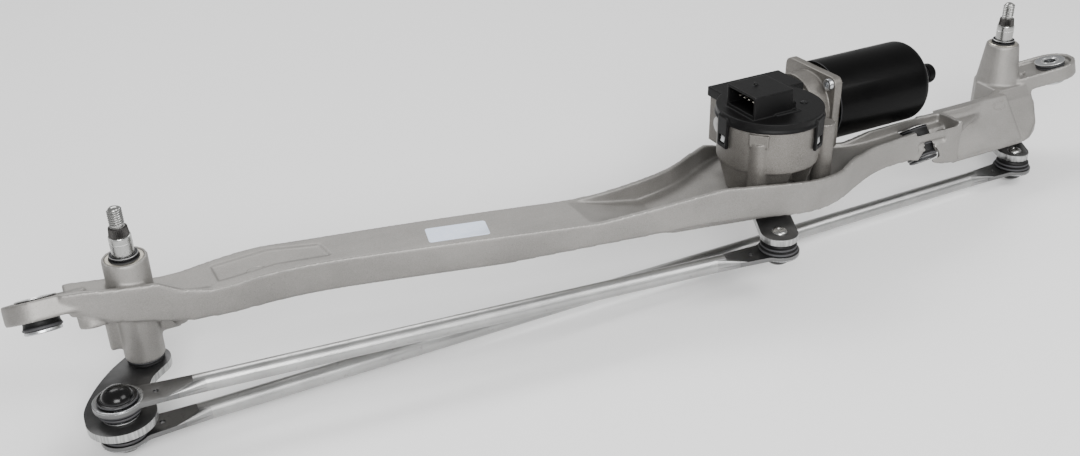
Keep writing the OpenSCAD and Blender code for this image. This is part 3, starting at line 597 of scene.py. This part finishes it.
# %% Threads and cones
def thread_bm(root, crest, pitch, low, high, steps=28):
    bm = bmesh.new()
    shape = [(root - 0.25, -0.5), (root, -0.42), (crest - 0.08, -0.1), (crest, 0.0),
             (crest - 0.08, 0.1), (root, 0.42), (root - 0.25, 0.5)]
    verts = [bm.verts.new((r * MM, 0, (low + pitch / 2 + z * pitch) * MM)) for r, z in shape]
    edges = [bm.edges.new(pair) for pair in zip(verts, verts[1:])]
    turns = (high - low) / pitch - 1.0
    count = int(turns * steps)
    bmesh.ops.spin(bm, geom=verts + edges, cent=(0, 0, 0), axis=(0, 0, 1),
                   angle=2 * math.pi * count / steps, steps=count, dvec=(0, 0, pitch / steps * MM))
    for ring in (bm.verts[:len(shape)], bm.verts[-len(shape):]):
        for v in ring:
            flat = Vector((v.co.x, v.co.y, 0))
            v.co -= flat * (1 - (root - 0.3) * MM / flat.length)
    return bm


def tooth(r, depth):
    return lambda k, a: r - (depth if k % 2 else 0.0)


def cone_bm(teeth=36):
    return stacked([(4.1, 18.5), (4.5, 18.2), (tooth(4.95, 0.25), 17.9), (tooth(5.15, 0.42), 15.8),
                    (tooth(5.4, 0.42), 13.7), (5.15, 13.2), (5.0, 12.9)], teeth * 2)


for side, x in (("left", 0.0), ("right", span)):
    body = f"{side}_pivot"
    turned(f"{side}_shaft", [
        (0, 29.95), (1.2, 29.8), (2.2, 29.35), (2.9, 28.7), (3.3, 28.0), (3.3, 19.0), (4.0, 18.6),
        (4.1, 18.0), (4.8, 13.5), (5.2, 13.1), (5.75, 12.9), (5.9, 12.6), (5.96, 11.5),
        (5.98, 9.5), (5.7, 9.3), (5.7, 8.9), (5.98, 8.7), (6, 8), (6, 3.4), (6, 0.5), (6, -64.5),
        (6, -65.9), (5.2, -66), (5.2, -70.5), (7.2, -70.5), (7.35, -70.8), (7.3, -71.5),
        (6.6, -72.1), (5, -72.3), (1.5, -72.3), (0.8, -71.7), (0, -71.6)],
        at(x, 0, 0), ground_steel, body, [f"{side}_spindle"], 64, False)
    laid(f"{side}_thread", thread_bm(3.3, 3.98, 1.25, 18.7, 28.9), at(x, 0, 0), ground_steel,
         body, sharp=50.0)
    laid(f"{side}_serrations", cone_bm(), at(x, 0, 0), knurl_steel, body, sharp=20.0)
    turned(f"{side}_circlip", [(6.0, 1.0), (7.4, 1.0), (7.7, 1.25), (7.7, 1.95), (7.4, 2.2),
                               (6.2, 2.2), (6.0, 2.0)],
           at(x, 0, 0), black_oxide, body, [f"{side}_collar_ring"])

# %% [markdown]
# Sintered bushes carry the shaft at both ends of its boss, and rubber seals keep the dirt out.

# %% Bushes and seals
bush_top = [(6.05, -0.45), (9.8, -0.4), (10.2, -0.75), (10.2, -1.85), (8.5, -1.9), (8.5, -15.6),
            (8.1, -16), (6.05, -16)]
bush_foot = [(6.05, -62), (8.1, -62), (8.5, -61.6), (8.5, -46.4), (8.1, -46), (6.05, -46)]
seal_top = [(6.45, 0.2), (6.9, 0.5), (7.8, 0.45), (8.2, 0.1), (8.2, -0.35), (6.5, -0.38)]
seal_foot = [(6.45, -62.1), (9.9, -62.1), (10.2, -62.4), (10.2, -63.2), (9.7, -63.5),
             (10.1, -63.9), (10.1, -64.6), (9.7, -65), (6.5, -64.9)]
for side, x in (("left", 0.0), ("right", span)):
    for kind, finish, slot, top, bottom in (
            ("bush", bush_steel, "spindle_bushes", bush_top, bush_foot),
            ("seal", rubber, "dust_seals", seal_top, seal_foot)):
        turned(f"{side}_{kind}_top", top, at(x, 0, 0), finish, "frame", [f"{side}_{slot}"])
        turned(f"{side}_{kind}_foot", bottom, at(x, 0, 0), finish, "frame", ())

# %% [markdown]
# ## Levers and crank
# Stamped from 4.5 mm plate. The press rounds one edge and tears the other, so the edges are
# eased and the cut faces stay bright.

# %% Levers
for node in ("left_lever", "right_lever", "crank_arm"):
    eased(node, plate_steel, 0.45, 3)
eased("crank_nut", zinc_steel, 0.5, 3)
turned("output_shaft_end", [(0, -54.6), (3.0, -54.6), (3.7, -54.2), (4.0, -53.6), (4.0, -49.2),
                            (5.0, -49.0), (5.0, 4.6), (4.6, 5), (0, 5)],
       at(gear.x, gear.y, 0), ground_steel, "crank", ["output_shaft"], 48, False)

# %% [markdown]
# ## Ball joints
# Each stud is riveted into its plate, which leaves a domed head with a ring pressed into it.
# The ball snaps into a glossy acetal cup in the rod's eye, and a bellows of rubber keeps it
# clean. The rim of the eye is rolled over and polished by the tool.

# %% Studs
ball_r, ball_h, plate_t = 6.5, 8.5, 4.5


def rivet_stud(name, place, body, replaced):
    return turned(name, [
        (0, plate_t + 1.2), (1.0, plate_t + 1.25), (1.5, plate_t + 1.75), (2.6, plate_t + 1.8),
        (3.9, plate_t + 1.45), (4.7, plate_t + 0.75), (4.9, plate_t + 0.1), (4.8, plate_t),
        (3.5, plate_t), (3.5, 0), (4.8, 0), (5, -0.25), (5, -0.9), (4.4, -1.3), (3.7, -1.6),
        *arc(0, -ball_h, ball_r, 56, -90, 16)],
        place, ground_steel, body, replaced, 48, False)


rivet_stud("crank_stud", at(crank_ball.x, crank_ball.y, drive_z + ball_h), "crank",
           ["crank_ball_stud"])
rivet_stud("right_stud", at(span + arm.x, arm.y, lever_bot), "right_pivot", ["right_ball_stud"])
half = [(3.5, 0), (3.5, 2.2), (4.8, 2.25), (5, 2.5), (5, 3.2), (4.4, 3.6), (3.7, 3.9),
        *arc(0, plate_t / 2 + ball_h, ball_r, -56, 90, 16)]
turned("left_studs", half[:0:-1] + half[:1] + [(r, -z) for r, z in half[1:]],
       at(arm.x, arm.y, (lever_top + lever_bot) / 2), ground_steel, "left_pivot",
       ["left_double_stud"], 48, False)
turned("left_stud_cup", [(5.2, 0.0), (9.2, 0.0), (9.6, 0.25), (9.5, 0.6), (8.9, 0.75),
                         (8.3, 0.5), (5.2, 0.45)],
       at(arm.x, arm.y, lever_top), zinc_steel, "left_pivot")

# %% Cups, boots and rolled rims
flip = ("X", 180)
dome = [(r, 2.6 + (z - 2.6) * 0.77) for r, z in arc(0, 2.6, 8.35, 90, 8, 18)]


def lobed(r, depth):
    return lambda k, a: r + depth * math.sin(7 * a)


joints = {"drive_rod_left": (at(arm.x, arm.y, drive_z), "drive_link"),
          "drive_rod_crank": (at(crank_ball.x, crank_ball.y, drive_z, flip), "drive_link"),
          "link_rod_left": (at(arm.x, arm.y, link_z, flip), "long_link"),
          "link_rod_right": (at(span + arm.x, arm.y, link_z, flip), "long_link")}
for joint, (place, body) in joints.items():
    turned(joint + "_cup", [
        *dome, (8.45, 3.35), (8.9, 3.05), (10.0, 3.0), *arc(10.05, 2.5, 0.5, 90, -60, 5),
        (10.1, 1.5), (9.0, 1.45), (9.0, -3.35), (5.75, -3.4), *arc(0, 0, 6.55, -30, 90, 14)],
        place, acetal_black, body, [joint + "_socket"], 64, False)
    turned(joint + "_bellows", [
        (5.7, -3.5), (8.9, -3.5), (8.9, -1.5), (11.2, -1.45), *arc(11.35, -2.3, 0.85, 80, -70, 6),
        (10.7, -3.45), (10.3, -3.9), *arc(10.5, -4.95, 0.8, 60, -60, 5), (10.0, -5.8),
        (9.4, -6.3), (9.1, -6.9), (8.9, -7.5), (8.5, -7.78), (5.6, -7.75)],
        place, rubber, body, [joint + "_boot"])
    rim = stacked([(11.4, 1.43), (lobed(12.0, 0.12), 1.62), (lobed(12.5, 0.16), 1.58),
                   (lobed(12.95, 0.05), 1.2), (13.02, 0.8), (12.7, 0.5), (11.4, 0.4)], 72)
    laid(joint + "_rim", rim, place, zinc_steel, body)

# %% [markdown]
# ## Rods
# Drawn tube with its ends pressed flat and pierced. The flats keep a darker skin than the tube,
# which fades out over a few millimetres.

# %% Rods
skin_end, skin_fade = 42.0, 8.0
rod_ends = {"drive_rod": (arm, crank_ball), "link_rod": (arm, Vector((span, 0)) + arm)}
for node, ends in rod_ends.items():
    mesh = eased(node, rod_steel, 0.4, 3).data
    reach = [min((f.center.xy / MM - e).length for e in ends) for f in mesh.polygons]
    skin = [min(max((skin_end - r) / skin_fade, 0.0), 1.0) for r in reach]
    mesh.attributes.new("skin", "FLOAT", "FACE").data.foreach_set("value", skin)

# %% [markdown]
# ## Gearbox
# The housing is a second casting. Its fillets come from the same cube method with finer cubes.
# Three small zinc faces stand where the cover's clips latch.

# %% Housing
moulded("gearbox_housing", cast_gearbox, 0.5, 4, 0.3)
latch_size = Matrix.Diagonal((0.8, 4.4, 4.0, 1.0))
for i, turn in enumerate((176, -62, 20)):
    bm = bmesh.new()
    bmesh.ops.create_cube(bm, size=MM, matrix=at(gear.x, gear.y, 0, ("Z", turn))
                          @ at(33.15, 0, 1.9, ("Y", -7)) @ latch_size)
    bmesh.ops.bevel(bm, geom=bm.edges[:], offset=0.25 * MM, affect="EDGES", segments=2,
                    profile=0.5, material=-1)
    bm.faces.layers.float.new("edge")
    piece_from_bm(f"latch_face_{i}", bm, zinc_steel, "frame")

# %% [markdown]
# The cover is a plastic moulding with three clip loops, a socket for the harness, a short rib
# and a dimple. The rib, a small peg on the socket and the bead round the cover's edge are added
# before the cubes are made.

# %% Cover
def cover_extras(bm):
    rib_size = Matrix.Diagonal((18.5, 1.4, 1.9, 1.0))
    bmesh.ops.create_cube(bm, size=MM, matrix=at(387.75, -60.7, 18.95) @ rib_size)
    bmesh.ops.create_cone(bm, cap_ends=True, segments=24, radius1=1.5 * MM, radius2=1.2 * MM,
                          depth=2.4 * MM, matrix=at(376.5, -42.0, 33.9))
    bead = turned_bm([(32.4, 12.6), (33.9, 12.6), (34.3, 13.1), (34.3, 13.9), (33.9, 14.5),
                      (32.4, 14.5)], 120)
    bmesh.ops.transform(bead, matrix=at(gear.x, gear.y, 0), verts=bead.verts)
    ring = bpy.data.meshes.new("bead")
    bead.to_mesh(ring)
    bead.free()
    bm.from_mesh(ring)


moulded("gearbox_cover", cover_plastic, 0.42, 6, 0.4, 0.5, extras=cover_extras)
turned("cover_dimple", [(0, 0.0), (1.6, 0.0), (1.8, 0.35), (2.3, 0.35), (2.5, -0.3), (0, -0.3)],
       at(407.0, -52.0, 19.0), cover_plastic, "frame", (), 32, False)

# %% [markdown]
# Pins, contact board, worm wheel and the pieces inside the motor are plain shapes with eased
# edges. They show through the mouth and the skirt, and wherever the part is opened.

# %% Inner pieces
for node, finish, width, segments in (
        ("connector_pins", pin_tin, 0.12, 2), ("contact_plate", board_green, 0.2, 1),
        ("output_bush", bronze, 0.4, 2), ("worm_wheel", wheel_acetal, 0.2, 1),
        ("motor_magnets", ferrite, 0.4, 2), ("brush_card", card_brown, 0.3, 2),
        ("motor_bearings", bronze, 0.3, 2), ("armature_core", lamination, 0.25, 1),
        ("armature_windings", copper, 1.5, 4), ("commutator", copper, 0.3, 2)):
    eased(node, finish, width, segments)
shaft = at(0, *motor_axis, ("Y", 90))
turned("armature_rod", [
    (0, 377.5), (3.0, 377.5), (3.4, 378), (3.4, 380.8), (2.9, 381.2), (2.9, 401.6), (3.9, 402),
    (4, 402.6), (4, 461.7), (3, 462), (3, 544.6), (2.7, 545), (0, 545)],
    shaft, ground_steel, "armature", ["armature_shaft"], 48, False)
laid("worm", thread_bm(2.9, 4.08, 2.9, 381.0, 402.0), shaft, ground_steel, "armature",
     sharp=50.0)

# %% [markdown]
# ## Motor can
# A deep drawn steel can in thick gloss paint, with a nub for the rear bearing.

# %% Can
flange_x = 450.0
turned("motor_can", [
    (25.4, 0.0), (27.3, 0.0), (27.6, 0.3), (27.6, 68.0), *arc(20.6, 72.0, 7.0, 0, 82, 12),
    (20.2, 78.95), (14.0, 79.0), (12.0, 79.5), (11.2, 80.3), (10.9, 82.0), (10.3, 83.0),
    (8.0, 83.8), (7.4, 84.4), (7.3, 88.0), (7.0, 88.4), (6.5, 88.5), (6.5, 89.5), (7.0, 89.6),
    (7.25, 90.0), (7.2, 95.0), (7.0, 95.3), (6.5, 95.4), (6.5, 96.2), (6.95, 96.3), (7.0, 100.5),
    (6.5, 101.9), (5.6, 102.9), (4.6, 103.0), (2.0, 103.0), (1.6, 102.6), (0, 102.5),
    (0, 101.9), (5.35, 101.9), (5.35, 78.0), (18.6, 78.0), (18.6, 72.0), (25.4, 71.9)],
    at(flange_x, *motor_axis, ("Y", 90)), can_paint, "frame", ["motor_yoke"], 96,
    False)

# %% [markdown]
# ## Screws
# Two screws clamp the can to the gearbox flange, three hold the gearbox in the frame, and a
# wide plug closes the end of the worm bore.

# %% Fasteners
yoke_screw_out = 29.0 * math.sqrt(0.5)
for i, side in enumerate((-1, 1)):
    head = at(flange_x - 6.0, motor_axis[0] + side * yoke_screw_out,
              motor_axis[1] - side * yoke_screw_out, ("Y", -90))
    screw_head(f"yoke_screw_{i}", head, 3.85, 3.0, 1.9, zinc_steel,
               ["yoke_screws"] if i == 0 else ())
screw_head("worm_plug", at(gear.x - 15.0, *motor_axis, ("Y", -90)), 5.9, 1.2, 1.5, rod_steel,
           ["thrust_screw"])
for i, (radius, angle) in enumerate(((28, -138), (36, -24), (27, 85))):
    spot = gear.xy + Matrix.Rotation(math.radians(angle), 2) @ Vector((radius, 0))
    screw_head(f"gear_screw_{i}", at(*spot, -40.4, ("X", 180)), 5.0, 1.4, 2.4, zinc_steel,
               ["gearbox_screws"] if i == 0 else ())

# %% [markdown]
# ## Light, floor and camera
# A pale floor and three large soft lights. The camera looks down from the front left, where the
# near end of the linkage looms larger than the far one.

# %% Camera
eye = Vector((-0.0490, -0.5853, 0.3064))
aim = Vector((0.2466, -0.0003, -0.0505))
roll = math.radians(-1.64)
cam_data = bpy.data.cameras.new("camera")
cam_data.sensor_width = 36.0
cam_data.lens = 39.4
cam_data.clip_start = 0.01
cam = bpy.data.objects.new("camera", cam_data)
bpy.context.scene.collection.objects.link(cam)
look = (aim - eye).to_track_quat("-Z", "Y").to_matrix().to_4x4()
cam.matrix_world = Matrix.Translation(eye) @ look @ Matrix.Rotation(roll, 4, "Z")
bpy.context.scene.camera = cam


# %% Light
middle = Vector((0.3, 0.0, 0.0))


def soft_light(name, spot, size, power):
    data = bpy.data.lights.new(name, "AREA")
    data.shape = "RECTANGLE"
    data.size, data.size_y = size
    data.energy = power
    lamp = bpy.data.objects.new(name, data)
    lamp.location = spot
    lamp.rotation_euler = (middle - Vector(spot)).to_track_quat("-Z", "Y").to_euler()
    bpy.context.scene.collection.objects.link(lamp)


soft_light("key", (-0.25, -1.35, 0.75), (0.9, 0.7), 34.0)
soft_light("fill", (1.0, -0.9, 1.1), (0.8, 0.8), 14.0)
soft_light("back", (0.2, 1.0, 1.2), (1.4, 0.5), 16.0)
world = bpy.data.worlds.new("studio")
world.use_nodes = True
world.node_tree.nodes["Background"].inputs["Color"].default_value = (0.5, 0.5, 0.5, 1.0)
bpy.context.scene.world = world

# %% Floor
floor_gap = 2.0 * MM
bm = bmesh.new()
bmesh.ops.create_grid(bm, x_segments=1, y_segments=1, size=4.0,
                      matrix=Matrix.Translation((middle.x, 0.0, cad_box[0][2] - floor_gap)))
mesh = bpy.data.meshes.new("floor")
bm.to_mesh(mesh)
bm.free()
floor = bpy.data.objects.new("floor", mesh)
bpy.context.scene.collection.objects.link(floor)
floor_white = Finish("floor_white", Roughness=0.85, Base_Color=(0.9, 0.9, 0.9, 1.0))
mesh.materials.append(floor_white.mat)
